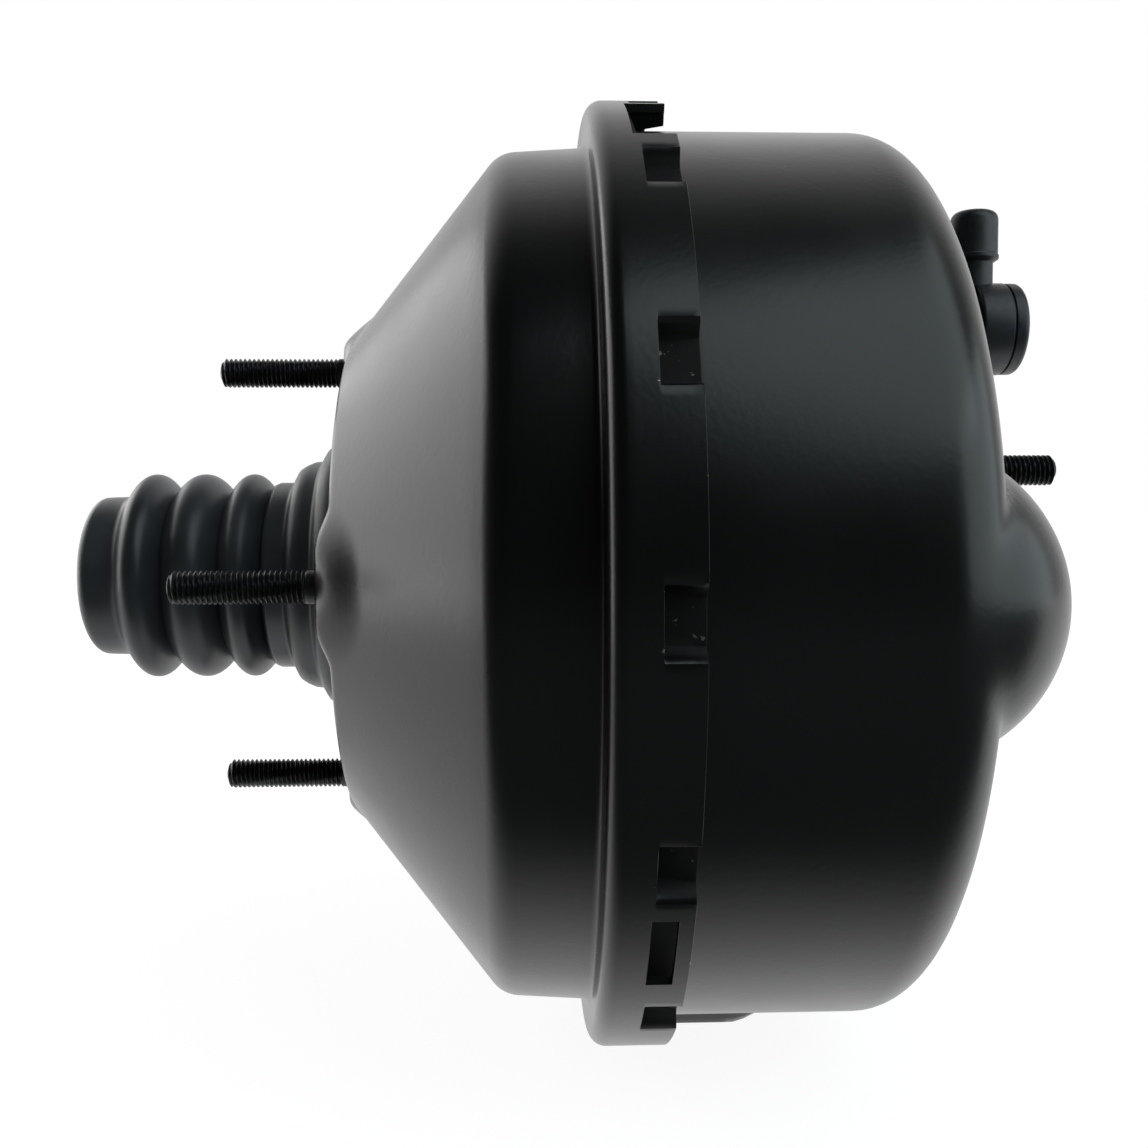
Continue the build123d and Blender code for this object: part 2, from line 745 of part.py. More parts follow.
def check_valve_cap():
    start = valve_drum_x + valve_drum
    plug_r = valve_drum_r - valve_wall - running_gap
    cap = bar(start, start + valve_cap, valve_drum_r - cap_step)
    cap = fillet(cap.edges().sort_by(Axis.X)[-1], cap_round)
    return at_valve(cap + bar(start - cap_plug, start + 1, plug_r))


def check_valve_disc():
    start = valve_seat_x + free_gap
    return at_valve(bar(start, start + check_disc, check_disc_r))


def check_valve_spring():
    start = valve_seat_x + free_gap + check_disc
    end = valve_drum_x + valve_drum - cap_plug
    return at_valve(coil(start, end, check_spring_r, check_wire, check_spring_turns))


pieces = [
    rear_shell, rear_reinforcement, rear_studs, neck_bush, neck_seal, neck_seal_retainer, boot,
    front_shell, front_reinforcement, master_cylinder_studs, front_seal,
    divider_plate, divider_seal, divider_bush,
    rear_diaphragm, rear_piston_plate, front_diaphragm, front_piston_plate,
    valve_body, stop_key, piston_retaining_ring, return_spring_seat, piston_return_spring,
    reaction_disc, output_rod, output_rod_retainer, output_rod_screw,
    valve_plunger, reaction_piston, input_rod, input_spring_seat, input_return_spring,
    poppet_retainer, poppet_valve, poppet_spring, filter_retainer, silencer_felt, air_filter,
    check_valve_grommet, check_valve_body, check_valve_cap, check_valve_disc, check_valve_spring,
]

for make in pieces:
    export_step(make(), f"parts/{make.__name__}.step")
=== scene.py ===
from math import ceil, radians

import bmesh
import bpy
import numpy as np
from mathutils import Matrix, Vector


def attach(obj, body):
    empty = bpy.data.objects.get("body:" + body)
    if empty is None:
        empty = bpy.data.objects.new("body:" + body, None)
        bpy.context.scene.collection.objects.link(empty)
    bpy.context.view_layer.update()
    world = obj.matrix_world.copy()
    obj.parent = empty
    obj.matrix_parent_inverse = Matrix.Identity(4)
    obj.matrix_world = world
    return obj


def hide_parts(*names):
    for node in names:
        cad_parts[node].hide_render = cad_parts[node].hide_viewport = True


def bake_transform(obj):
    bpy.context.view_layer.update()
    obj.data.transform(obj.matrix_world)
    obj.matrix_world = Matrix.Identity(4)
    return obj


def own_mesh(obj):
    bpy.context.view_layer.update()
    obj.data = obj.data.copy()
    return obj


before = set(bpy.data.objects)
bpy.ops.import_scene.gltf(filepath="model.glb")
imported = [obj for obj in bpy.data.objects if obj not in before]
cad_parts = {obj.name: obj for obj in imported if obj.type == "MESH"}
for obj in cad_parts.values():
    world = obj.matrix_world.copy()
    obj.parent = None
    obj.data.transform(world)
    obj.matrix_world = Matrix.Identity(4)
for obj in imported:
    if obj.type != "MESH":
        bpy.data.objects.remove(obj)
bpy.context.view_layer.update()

# ---- studio ------------------------------------------------------------------------------------------
# A brake booster lies on its rim on a white table, with the pedal side to the left. White card stands
# behind it and large soft boxes hang round it, because black paint shows only what it reflects.


def linear(colour):
    """An sRGB hex colour in linear light."""
    parts = [int(colour[i:i + 2], 16) / 255 for i in (1, 3, 5)]
    return [c / 12.92 if c <= 0.04045 else ((c + 0.055) / 1.055) ** 2.4 for c in parts] + [1.0]


def add(tree, kind, links=None, **settings):
    """A node with its settings, and its inputs set to values or linked to sockets."""
    node = tree.nodes.new(kind)
    for name, value in settings.items():
        setattr(node, name, value)
    for key, value in (links or {}).items():
        if isinstance(value, bpy.types.NodeSocket):
            tree.links.new(value, node.inputs[key])
        else:
            node.inputs[key].default_value = value
    return node


def put(name, data):
    """An object in the scene for a mesh, light or camera."""
    obj = bpy.data.objects.new(name, data)
    bpy.context.scene.collection.objects.link(obj)
    return obj


def empty_material(name):
    """A new material without nodes, its tree, and a socket with the place on the object."""
    made = bpy.data.materials.new(name)
    made.use_nodes = True
    made.node_tree.nodes.clear()
    return made, made.node_tree, add(made.node_tree, "ShaderNodeTexCoord").outputs["Object"]


camera = put("camera", bpy.data.cameras.new("camera"))
camera.data.lens = 39.09
camera.data.sensor_width = 36.0
camera.data.clip_start = 0.01
camera.matrix_world = (
    Matrix.Translation((0.04867, -0.35145, 0.01839)) @ Matrix.Rotation(radians(-2.24), 4, "Z")
    @ Matrix.Rotation(radians(86.98), 4, "X") @ Matrix.Rotation(radians(-0.16), 4, "Z"))
bpy.context.scene.camera = camera
bpy.context.scene.view_settings.view_transform = "Standard"

world = bpy.data.worlds.new("studio")
world.use_nodes = True
bpy.context.scene.world = world
tree = world.node_tree
tree.nodes.clear()
way = add(tree, "ShaderNodeTexCoord").outputs["Generated"]
way = add(tree, "ShaderNodeSeparateXYZ", {"Vector": way})
card = add(tree, "ShaderNodeMapRange", {
    "Value": way.outputs["Y"], "From Min": 0.0, "From Max": 0.85, "To Min": 0.02, "To Max": 1.0},
    interpolation_type="SMOOTHSTEP").outputs["Result"]
path = add(tree, "ShaderNodeLightPath")
straight = add(tree, "ShaderNodeMath", {
    0: path.outputs["Is Camera Ray"], 1: path.outputs["Is Transmission Ray"]}, operation="MAXIMUM")
level = add(tree, "ShaderNodeMix", {
    "Factor": path.outputs["Is Glossy Ray"], "A": 0.22, "B": card}).outputs["Result"]
level = add(tree, "ShaderNodeMath", {0: level, 1: straight.outputs["Value"]}, operation="MAXIMUM")
sky = add(tree, "ShaderNodeBackground", {"Color": linear("#ffffff"), "Strength": level.outputs["Value"]})
add(tree, "ShaderNodeOutputWorld", {"Surface": sky.outputs["Background"]})


def softbox(name, place, aim, width, height, power, colour="#ffffff"):
    """A rectangular soft box at a place, facing a point, in metres and watts."""
    light = bpy.data.lights.new(name, "AREA")
    light.shape = "RECTANGLE"
    light.size, light.size_y = width, height
    light.energy = power
    light.color = linear(colour)[:3]
    box = put(name, light)
    facing = (Vector(aim) - Vector(place)).to_track_quat("-Z", "Y")
    box.matrix_world = Matrix.Translation(place) @ facing.to_matrix().to_4x4()


softbox("front_box", (0.55, -0.47, 0.74), (0.10, 0, 0), 0.95, 0.76, 3.3, "#e9f7fb")
softbox("right_box", (0.98, -0.35, 0.26), (0.10, 0, 0), 1.2, 0.62, 3.6, "#e9f7fb")
softbox("left_box", (-0.86, 0.47, 0.26), (0.03, 0, 0), 1.0, 0.85, 5.2)

table_z, table_half = -0.1253, 30
floor = bpy.data.meshes.new("white_table")
floor.from_pydata(
    [(x * table_half, y * table_half, table_z) for x, y in ((-1, -1), (1, -1), (1, 1), (-1, 1))],
    [], [(0, 1, 2, 3)])
floor = put("white_table", floor)
table, tree, at = empty_material("white_laminate")
matt = add(tree, "ShaderNodeBsdfDiffuse", {"Color": linear("#7c7c7c")})
off = add(tree, "ShaderNodeVectorMath", {0: at, 1: (0.08, 0.0, table_z)}, operation="DISTANCE")
clear = add(tree, "ShaderNodeMapRange", {
    "Value": off.outputs["Value"], "From Min": 0.12, "From Max": 0.45, "To Min": 0.92, "To Max": 1.0},
    interpolation_type="SMOOTHSTEP").outputs["Result"]
# Painted reflection: in glossy rays alone the table glows, dark in front and bright under and behind the
# booster, so the shells' undersides reflect a pale patch that sheds no diffuse light.
depth = add(tree, "ShaderNodeSeparateXYZ", {"Vector": at}).outputs["Y"]
reflection_glow = add(tree, "ShaderNodeMapRange", {
    "Value": depth, "From Min": -0.145, "From Max": -0.06}, interpolation_type="SMOOTHSTEP").outputs["Result"]
path = add(tree, "ShaderNodeLightPath")
seen = add(tree, "ShaderNodeMath", {
    0: clear, 1: path.outputs["Is Camera Ray"]}, operation="MULTIPLY").outputs["Value"]
shine = add(tree, "ShaderNodeMath", {
    0: reflection_glow, 1: path.outputs["Is Glossy Ray"]}, operation="MULTIPLY").outputs["Value"]
lift = add(tree, "ShaderNodeMath", {0: seen, 1: shine}, operation="ADD").outputs["Value"]
glow = add(tree, "ShaderNodeEmission", {"Strength": lift})
both = add(tree, "ShaderNodeAddShader", {0: matt.outputs["BSDF"], 1: glow.outputs["Emission"]})
add(tree, "ShaderNodeOutputMaterial", {"Surface": both.outputs["Shader"]})
floor.data.materials.append(table)


# ---- rear shell --------------------------------------------------------------------------------------
# The rear half of the vacuum case, pressed from 2 mm steel sheet and sprayed semi-gloss black. Four pads
# carry the studs. Its skirt is lanced and pressed in at 15 places, behind the front shell's flange, and
# has one gap and one slot.


def rounded(corners, radii, steps, turn):
    """Points along a line with rounded corners: each straight in its own steps, arcs every few degrees."""
    corners = [np.array(c, float) for c in corners]
    points = [corners[0]]
    for i, step in enumerate(steps):
        end = corners[i + 1]
        arc = []
        radius = radii[i] if i < len(radii) else 0
        if radius:
            back, on = corners[i] - end, corners[i + 2] - end
            back, on = back / np.linalg.norm(back), on / np.linalg.norm(on)
            half = np.arccos(np.clip(back @ on, -1, 1)) / 2
            centre = end + (back + on) / np.linalg.norm(back + on) * radius / np.sin(half)
            first, last = [end + way * radius / np.tan(half) - centre for way in (back, on)]
            count = ceil((180 - np.degrees(2 * half)) / turn)
            bend = np.arctan2(first[0] * last[1] - first[1] * last[0], first @ last)
            for part in np.linspace(0, 1, count + 1):
                c, s = np.cos(bend * part), np.sin(bend * part)
                arc.append(centre + [c * first[0] - s * first[1], s * first[0] + c * first[1]])
            end = arc[0]
        run = np.linalg.norm(end - points[-1])
        count = max(1, ceil(run / step - 0.01))
        start = points[-1]
        points += [start + (end - start) * (k + 1) / count for k in range(count)]
        points += arc[1:]
    return np.array(points)


def spin(line, turns):
    """A grid of points: an outline of (x, radius) at each turn about the axis, in degrees from +Y."""
    turns = np.radians(turns)
    x, r = line[:, :1], line[:, 1:]
    return np.stack([x + 0 * turns, r * np.cos(turns), r * np.sin(turns)], axis=-1)


def smooth_min(a, b, width):
    """The lower of two heights, with a rounded join of that width."""
    share = np.clip(0.5 + 0.5 * (b - a) / width, 0, 1)
    return b + (a - b) * share - width * share * (1 - share)


def finished(obj, crease):
    """Applies the modifiers, and smooths the mesh up to the crease angle."""
    graph = bpy.context.evaluated_depsgraph_get()
    mesh = bpy.data.meshes.new_from_object(obj.evaluated_get(graph))
    obj.modifiers.clear()
    obj.data = mesh
    mesh.shade_smooth()
    mesh.set_sharp_from_angle(angle=radians(crease))
    return obj


def skin(name, grid, finish, keep=None, marks=None, sheet=0.0, even=True, bevel=0.0, crease=35):
    """A piece from a grid of points in millimetres, closed round the axis, given its thickness inward."""
    rows, columns = grid.shape[:2]
    index = np.arange(rows * columns).reshape(rows, columns)
    after = np.roll(index, -1, axis=1)
    cells = np.stack([index[:-1], after[:-1], after[1:], index[1:]], axis=-1)
    cells = cells.reshape(-1, 4) if keep is None else cells[keep]
    mesh = bpy.data.meshes.new(name)
    mesh.from_pydata((grid.reshape(-1, 3) / 1000).tolist(), [], cells.tolist())
    for mark, values in (marks or {}).items():
        values = np.broadcast_to(values, grid.shape[:2]).ravel().astype("f")
        mesh.attributes.new(mark, "FLOAT", "POINT").data.foreach_set("value", values)
    form = bmesh.new()
    form.from_mesh(mesh)
    bmesh.ops.remove_doubles(form, verts=form.verts, dist=1e-7)
    bmesh.ops.delete(form, geom=[v for v in form.verts if not v.link_faces], context="VERTS")
    form.to_mesh(mesh)
    form.free()
    obj = put(name, mesh)
    mesh.materials.append(finish)
    if sheet:
        wall = obj.modifiers.new("wall", "SOLIDIFY")
        wall.thickness, wall.offset, wall.use_even_offset = sheet / 1000, -1, even
    if bevel:
        broken = obj.modifiers.new("broken_edge", "BEVEL")
        broken.width, broken.segments, broken.limit_method = bevel / 1000, 1, "ANGLE"
        broken.angle_limit = radians(50)
    return finished(obj, crease)


def stand_in(obj, body, slot, *nodes):
    """The piece moves with a body and stands for the CAD nodes, which are hidden; the slot is not used."""
    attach(obj, body)
    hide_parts(*nodes)


# Stoving enamel on steel: near-black, with a soft broad gloss and a faint orange peel of 1.5 mm waves.
# Chips at the sheared edges show bare steel. In the skirt's pressed pockets and on the drum under the skirt
# the enamel is painted darker and matt, as painted shade in these recesses.
paint, tree, at = empty_material("semi_gloss_black_enamel")
cloud = add(tree, "ShaderNodeTexNoise", {"Vector": at, "Scale": 22.0, "Detail": 4.0}).outputs["Fac"]
gloss = add(tree, "ShaderNodeMapRange", {
    "Value": cloud, "From Min": 0.3, "From Max": 0.7, "To Min": 0.24, "To Max": 0.32}).outputs["Result"]
tint = add(tree, "ShaderNodeMix", {
    "Factor": cloud, "A": linear("#080a0a"), "B": linear("#0d0f10")}, data_type="RGBA").outputs["Result"]
# Painted shade: where marked, the enamel is made darker and matt in place of the shade that falls in the
# recesses.
recess_shade = add(tree, "ShaderNodeAttribute", attribute_name="painted_recess_shade").outputs["Fac"]
gloss = add(tree, "ShaderNodeMix", {"Factor": recess_shade, "A": gloss, "B": 0.85}).outputs["Result"]
tint = add(tree, "ShaderNodeMix", {
    "Factor": recess_shade, "A": tint, "B": linear("#060707")}, data_type="RGBA").outputs["Result"]
peel = add(tree, "ShaderNodeTexNoise", {"Vector": at, "Scale": 650.0, "Detail": 1.0}).outputs["Fac"]
ripple = add(tree, "ShaderNodeBump", {
    "Height": peel, "Strength": 0.05, "Distance": 0.0004}).outputs["Normal"]
enamel = add(tree, "ShaderNodeBsdfPrincipled", {
    "Base Color": tint, "Roughness": gloss, "IOR": 1.5, "Normal": ripple}).outputs["BSDF"]
steel = add(tree, "ShaderNodeBsdfPrincipled", {
    "Base Color": linear("#a9a79f"), "Metallic": 1.0, "Roughness": 0.4}).outputs["BSDF"]
flaw = add(tree, "ShaderNodeTexNoise", {"Vector": at, "Scale": 420.0, "Detail": 3.0}).outputs["Fac"]
near = add(tree, "ShaderNodeAttribute", attribute_name="edge").outputs["Fac"]
chip = add(tree, "ShaderNodeMath", {0: flaw, 1: near}, operation="MULTIPLY").outputs["Value"]
chip = add(tree, "ShaderNodeMapRange", {
    "Value": chip, "From Min": 0.68, "From Max": 0.71}).outputs["Result"]
both = add(tree, "ShaderNodeMixShader", {0: chip, 1: enamel, 2: steel}).outputs["Shader"]
add(tree, "ShaderNodeOutputMaterial", {"Surface": both})

stud_circle = 56
pad_reach, pad_run, pad_rise = 20.0, 9.5, 3.0
skirt_r = 125
lance_x, tongue_x, tongue_length = 74.2, 74.3, 8.1
tongue_press, tongue_return = 5.0, 1.4
locks, first_lock = 15, 181.3
lock_step = 360 / locks
across = np.array([-3.4, -3.0, -2.6, -2.2, -1.1, 0.0, 1.1, 2.2, 2.6, 3.0, 3.4])
pressed = np.array([0.0, 0.26, 0.74, 1.0, 1.0, 1.0, 1.0, 1.0, 0.74, 0.26, 0.0])
lock_side = across[-1]
turns, dent, opening = [], [], []
for lock in range(locks):
    middle = first_lock + lock_step * lock
    turns += list(middle + across[:-1])
    dent += list(pressed[:-1])
    opening += [""] * (len(across) - 1)
    stops, counts, kinds = [middle + lock_side, middle + lock_step - lock_side], [16], [""]
    if lock == 1:
        stops[1:1], counts, kinds = [210.96, 221.04], [3, 10, 5], ["", "slot", ""]
    if lock == 12:
        stops[1:1], counts, kinds = [middle + 4.2, middle + 17.2], [1, 12, 3], ["", "gap", ""]
    for k, count in enumerate(counts):
        turns += list(np.linspace(stops[k], stops[k + 1], count + 1)[:-1])
        dent += [0.0] * count
        opening += [kinds[k]] * count
turns, dent, opening = np.array(turns), np.array(dent), np.array(opening)

line = rounded(
    [(-14, 24), (3, 24), (3, 63.7), (13, 76.03), (42.5, 112.4), (64, 113.8), (64, skirt_r),
     (72.6, skirt_r), (73.6, skirt_r), (74.1, skirt_r), (tongue_x, skirt_r), (79.2, skirt_r),
     (82.4, skirt_r)],
    [3, 5, 0, 9, 2, 4, 0, 0, 0, 0, 0],
    [3, 1.2, 1.4, 6, 4, 3, 2, 1, 1, 1, 1.3, 1.6], turn=9)
grid = spin(line, turns)
for y, z in ((stud_circle, 0), (0, stud_circle), (-stud_circle, 0), (0, -stud_circle)):
    away = np.hypot(grid[..., 1] - y, grid[..., 2] - z)
    part = np.clip((pad_reach - away) / pad_run, 0, 1) * ((line[:, 1:] > 27) & (line[:, :1] < 24))
    grid[..., 0] -= pad_rise * part * part * (3 - 2 * part)
past = np.clip((line[:, :1] - tongue_x) / tongue_length, 0, 1)
depth = np.where(line[:, :1] > lance_x, tongue_press - tongue_return * past, 0.0)
depth = depth * dent * (line[:, 1:] > skirt_r - 1)
grid[..., 1:] *= (1 - depth / skirt_r)[..., None]
middle_x = ((line[1:, 0] + line[:-1, 0]) / 2)[:, None]
skirt = (line[1:, 1] > skirt_r - 1)[:, None]
lance = skirt & (abs(middle_x - lance_x) < 0.1) & (np.minimum(dent, np.roll(dent, -1)) > 0.2)
gap = skirt & (middle_x > 72.6) & (opening == "gap")
slot = skirt & (middle_x > 73.6) & (middle_x < 79.2) & (opening == "slot")
sheared = (line[:, :1] > 81) | ((line[:, :1] > 73) & (dent > 0))
# The floors of the pressed pockets are marked for painted shade: darker, matt enamel in place of the shade in
# each recess.
pocket_shade = np.clip((dent - 0.3) / 0.6, 0, 1) * (line[:, :1] > lance_x)
rear = skin("rear_shell", grid, paint, keep=~(lance | gap | slot),
            marks={"edge": sheared, "painted_recess_shade": 0.85 * pocket_shade}, sheet=2.0, even=False, bevel=0.4)
stand_in(rear, "housing", "shell_paint", "rear_shell")

dome, dome_r = np.array([130.0, -81.0, -2.6]), 36.0
valve_z = 68.6
seat_x, seat_r, hole_r = 160.5, 14.8, 9.6
bulge_from, bulge_to, bulge_half, bulge_rise = 77.2, 117.5, 13.0, 4.7
turns = np.concatenate([np.arange(a, b, step) for a, b, step in (
    (0, 72, 1.0), (72, 108, 0.5), (108, 150, 1.0), (150, 210, 0.5), (210, 360, 1.0))])
line = rounded(
    [(74.2, 122), (74.2, 117.9), (145.5, 117.9), (145.5, 60), (161.7, 52), (161.7, 21), (149.7, 21),
     (149.7, 11)],
    [0.6, 15, 3, 3, 1, 2.5], [2, 3, 1.3, 1.2, 3, 3, 5], turn=7)
grid = spin(line, turns)
turns = np.radians(turns)
along = np.gradient(line, axis=0)
face = np.stack([along[:, 1], -along[:, 0]], axis=-1)
face = -face / np.linalg.norm(face, axis=1, keepdims=True)
out = np.stack([face[:, :1] + 0 * turns, face[:, 1:] * np.cos(turns), face[:, 1:] * np.sin(turns)], axis=-1)
push = np.where((line[:, 1:] < 100)[..., None], np.array([1.0, 0.0, 0.0]), out)
reach = grid - dome
lean = (reach * push).sum(-1)
room = dome_r ** 2 - (reach ** 2).sum(-1) + lean ** 2
rise = np.where(room > 0, np.sqrt(np.maximum(room, 0)) - lean, -99)
rise = -smooth_min(-rise, np.zeros_like(rise), 2.0)
fade = np.clip((grid[..., 0] - 112) / 16, 0, 1)
outer_face = (line[:, 1:] > 45) & (line[:, :1] > 100)
grid = grid + push * (rise * fade * fade * (3 - 2 * fade) * outer_face)[..., None]
away = np.hypot(grid[..., 1], grid[..., 2] - valve_z)
seat = smooth_min(np.full_like(away, seat_x), seat_x - (away - seat_r) * 3.2, 2.0)
lifted = -smooth_min(-grid[..., 0], -seat, 3.0)
near_seat = (line[:, 1:] > 40) & (line[:, 1:] < 104) & (away < 30)
grid[..., 0] = np.where(near_seat, lifted, grid[..., 0])
low = np.abs((np.degrees(turns) - 270 + 180) % 360 - 180)
x = line[:, :1]
tall = np.clip((x - bulge_from) / 2.5, 0, 1) * np.clip((bulge_to - x) / 14.5, 0, 1)
wide = np.clip((bulge_half - low) / 1.6, 0, 1)
tall, wide = tall * tall * (3 - 2 * tall), wide * wide * (3 - 2 * wide)
grid = grid + out * (bulge_rise * tall * wide * (line[:, 1:] > 117))[..., None]
middle = (away + np.roll(away, -1, axis=1))[:-1] / 2
# The flange and drum wall under the skirt, up to x 82 mm, are marked for painted shade: darker, matt enamel
# for the shade in the gap under the skirt.
shaded = np.clip((82.0 - line[:, :1]) / 1.0, 0, 1)
front = skin("front_shell", grid, paint, keep=middle > hole_r, marks={"painted_recess_shade": shaded}, sheet=2.0,
             even=False, bevel=0.25)
stand_in(front, "housing", "shell_paint", "front_shell")

# ---- studs -------------------------------------------------------------------------------------------
# Four M8 studs that hold the booster to the bulkhead and two for the master cylinder. They are cold
# headed and thread rolled from steel wire and phosphated black, and pressed into plates in the shells.
phosphate, tree, at = empty_material("black_phosphated_steel")
grain = add(tree, "ShaderNodeTexNoise", {"Vector": at, "Scale": 900.0, "Detail": 4.0}).outputs["Fac"]
tint = add(tree, "ShaderNodeMix", {
    "Factor": grain, "A": linear("#232425"), "B": linear("#4a4b4c")}, data_type="RGBA").outputs["Result"]
gloss = add(tree, "ShaderNodeMapRange", {
    "Value": grain, "From Min": 0.3, "From Max": 0.7, "To Min": 0.32, "To Max": 0.5}).outputs["Result"]
pits = add(tree, "ShaderNodeBump", {
    "Height": grain, "Strength": 0.15, "Distance": 0.0001}).outputs["Normal"]
coat = add(tree, "ShaderNodeBsdfPrincipled", {
    "Base Color": tint, "Metallic": 0.85, "Roughness": gloss, "Normal": pits}).outputs["BSDF"]
add(tree, "ShaderNodeOutputMaterial", {"Surface": coat})


def grown(obj, tree, **values):
    """Runs a tree on the object with its inputs set by name, and keeps the result as a plain mesh."""
    made = obj.modifiers.new("tree", "NODES")
    made.node_group = tree
    for item in tree.interface.items_tree:
        if item.in_out == "INPUT" and item.name.lower().replace(" ", "_") in values:
            made[item.identifier] = values[item.name.lower().replace(" ", "_")]
    graph = bpy.context.evaluated_depsgraph_get()
    mesh = bpy.data.meshes.new_from_object(obj.evaluated_get(graph))
    obj.modifiers.clear()
    obj.data = mesh
    return obj


def inputs(tree, **kinds):
    """Gives the tree a geometry input and output, and the named inputs, and returns its input node."""
    tree.interface.new_socket("Geometry", in_out="INPUT", socket_type="NodeSocketGeometry")
    tree.interface.new_socket("Geometry", in_out="OUTPUT", socket_type="NodeSocketGeometry")
    for name, kind in kinds.items():
        tree.interface.new_socket(name.replace("_", " ").capitalize(), in_out="INPUT",
                                  socket_type="NodeSocket" + kind)
    return tree.nodes.new("NodeGroupInput")


tree = bpy.data.node_groups.new("threaded_studs", "GeometryNodeTree")
given = inputs(tree, length="Float", radius="Float", pitch="Float", depth="Float", band="Float",
               tip="Float", head_radius="Float", head="Float", turn="Vector", finish="Material")
blank = add(tree, "GeometryNodeMeshGrid", {
    "Size X": 1.0, "Size Y": 1.0, "Vertices X": 212, "Vertices Y": 29})
where = add(tree, "ShaderNodeSeparateXYZ", {
    "Vector": add(tree, "GeometryNodeInputPosition").outputs["Position"]})
share = add(tree, "ShaderNodeMath", {0: where.outputs["X"], 1: 0.5}, operation="ADD").outputs["Value"]
lap = add(tree, "ShaderNodeMath", {0: where.outputs["Y"], 1: 0.5}, operation="ADD").outputs["Value"]
reach = add(tree, "ShaderNodeMath", {
    0: share, 1: given.outputs["Length"]}, operation="MULTIPLY").outputs["Value"]
wave = add(tree, "ShaderNodeMath", {
    0: reach, 1: given.outputs["Pitch"]}, operation="DIVIDE").outputs["Value"]
wave = add(tree, "ShaderNodeMath", {0: wave, 1: lap}, operation="SUBTRACT").outputs["Value"]
wave = add(tree, "ShaderNodeMath", {0: wave, 1: 0.5}, operation="PINGPONG").outputs["Value"]
wave = add(tree, "ShaderNodeMapRange", {
    "Value": wave, "From Min": 0.06, "From Max": 0.46}).outputs["Result"]
past = add(tree, "ShaderNodeMath", {
    0: reach, 1: given.outputs["Band"]}, operation="SUBTRACT").outputs["Value"]
start = add(tree, "ShaderNodeMapRange", {"Value": past, "From Max": 0.001}).outputs["Result"]
cut = add(tree, "ShaderNodeMath", {0: wave, 1: start}, operation="MULTIPLY").outputs["Value"]
cut = add(tree, "ShaderNodeMath", {
    0: cut, 1: given.outputs["Depth"]}, operation="MULTIPLY").outputs["Value"]
radius = add(tree, "ShaderNodeMath", {
    0: given.outputs["Radius"], 1: cut}, operation="SUBTRACT").outputs["Value"]
left = add(tree, "ShaderNodeMath", {
    0: given.outputs["Length"], 1: reach}, operation="SUBTRACT").outputs["Value"]
left = add(tree, "ShaderNodeMapRange", {
    "Value": left, "From Max": given.outputs["Tip"]}).outputs["Result"]
nose = add(tree, "ShaderNodeMath", {0: left, 1: 0.45}, operation="POWER").outputs["Value"]
foot = add(tree, "ShaderNodeMath", {0: share, 1: 0.001}, operation="GREATER_THAN").outputs["Value"]
nose = add(tree, "ShaderNodeMath", {0: nose, 1: foot}, operation="MULTIPLY").outputs["Value"]
radius = add(tree, "ShaderNodeMath", {0: radius, 1: nose}, operation="MULTIPLY").outputs["Value"]
angle = add(tree, "ShaderNodeMath", {0: lap, 1: radians(360)}, operation="MULTIPLY").outputs["Value"]
side = add(tree, "ShaderNodeMath", {0: angle}, operation="COSINE").outputs["Value"]
side = add(tree, "ShaderNodeMath", {0: side, 1: radius}, operation="MULTIPLY").outputs["Value"]
rise = add(tree, "ShaderNodeMath", {0: angle}, operation="SINE").outputs["Value"]
rise = add(tree, "ShaderNodeMath", {0: rise, 1: radius}, operation="MULTIPLY").outputs["Value"]
place = add(tree, "ShaderNodeCombineXYZ", {"X": reach, "Y": side, "Z": rise}).outputs["Vector"]
shank = add(tree, "GeometryNodeSetPosition", {"Geometry": blank.outputs["Mesh"], "Position": place})
shank = add(tree, "GeometryNodeMergeByDistance", {
    "Geometry": shank.outputs["Geometry"], "Distance": 0.00001})
blank = add(tree, "GeometryNodeMeshCylinder", {
    "Vertices": 48, "Radius": given.outputs["Head radius"], "Depth": given.outputs["Head"]})
half = add(tree, "ShaderNodeMath", {
    0: given.outputs["Head"], 1: -0.5}, operation="MULTIPLY").outputs["Value"]
half = add(tree, "ShaderNodeCombineXYZ", {"X": half}).outputs["Vector"]
head = add(tree, "GeometryNodeTransform", {
    "Geometry": blank.outputs["Mesh"], "Translation": half, "Rotation": (0, radians(90), 0)})
stud = add(tree, "GeometryNodeJoinGeometry")
tree.links.new(shank.outputs["Geometry"], stud.inputs["Geometry"])
tree.links.new(head.outputs["Geometry"], stud.inputs["Geometry"])
copies = add(tree, "GeometryNodeInstanceOnPoints", {
    "Points": given.outputs["Geometry"], "Instance": stud.outputs["Geometry"],
    "Rotation": given.outputs["Turn"]})
solid = add(tree, "GeometryNodeRealizeInstances", {"Geometry": copies.outputs["Instances"]})
coated = add(tree, "GeometryNodeSetMaterial", {
    "Geometry": solid.outputs["Geometry"], "Material": given.outputs["Finish"]})
add(tree, "NodeGroupOutput", {"Geometry": coated.outputs["Geometry"]})

for name, places, length, band, turn in (
        ("rear_studs", [(8, stud_circle, 0), (8, 0, stud_circle), (8, -stud_circle, 0), (8, 0, -stud_circle)],
         43.4, 10.4, radians(180)),
        ("master_cylinder_studs", [(156.7, -28, 28), (156.7, 28, -28)], 31.0, 7.5, 0.0)):
    mesh = bpy.data.meshes.new(name)
    mesh.from_pydata([[v / 1000 for v in place] for place in places], [], [])
    studs = grown(
        put(name, mesh), tree, length=length / 1000, radius=0.004, pitch=0.00125, depth=0.00075,
        band=band / 1000, tip=0.0014, head_radius=0.0075, head=0.003, turn=(0, 0, turn), finish=phosphate)
    form = bmesh.new()
    form.from_mesh(studs.data)
    bmesh.ops.recalc_face_normals(form, faces=form.faces)
    form.to_mesh(studs.data)
    form.free()
    finished(studs, 50)
    stand_in(studs, "housing", "stud_steel", name)

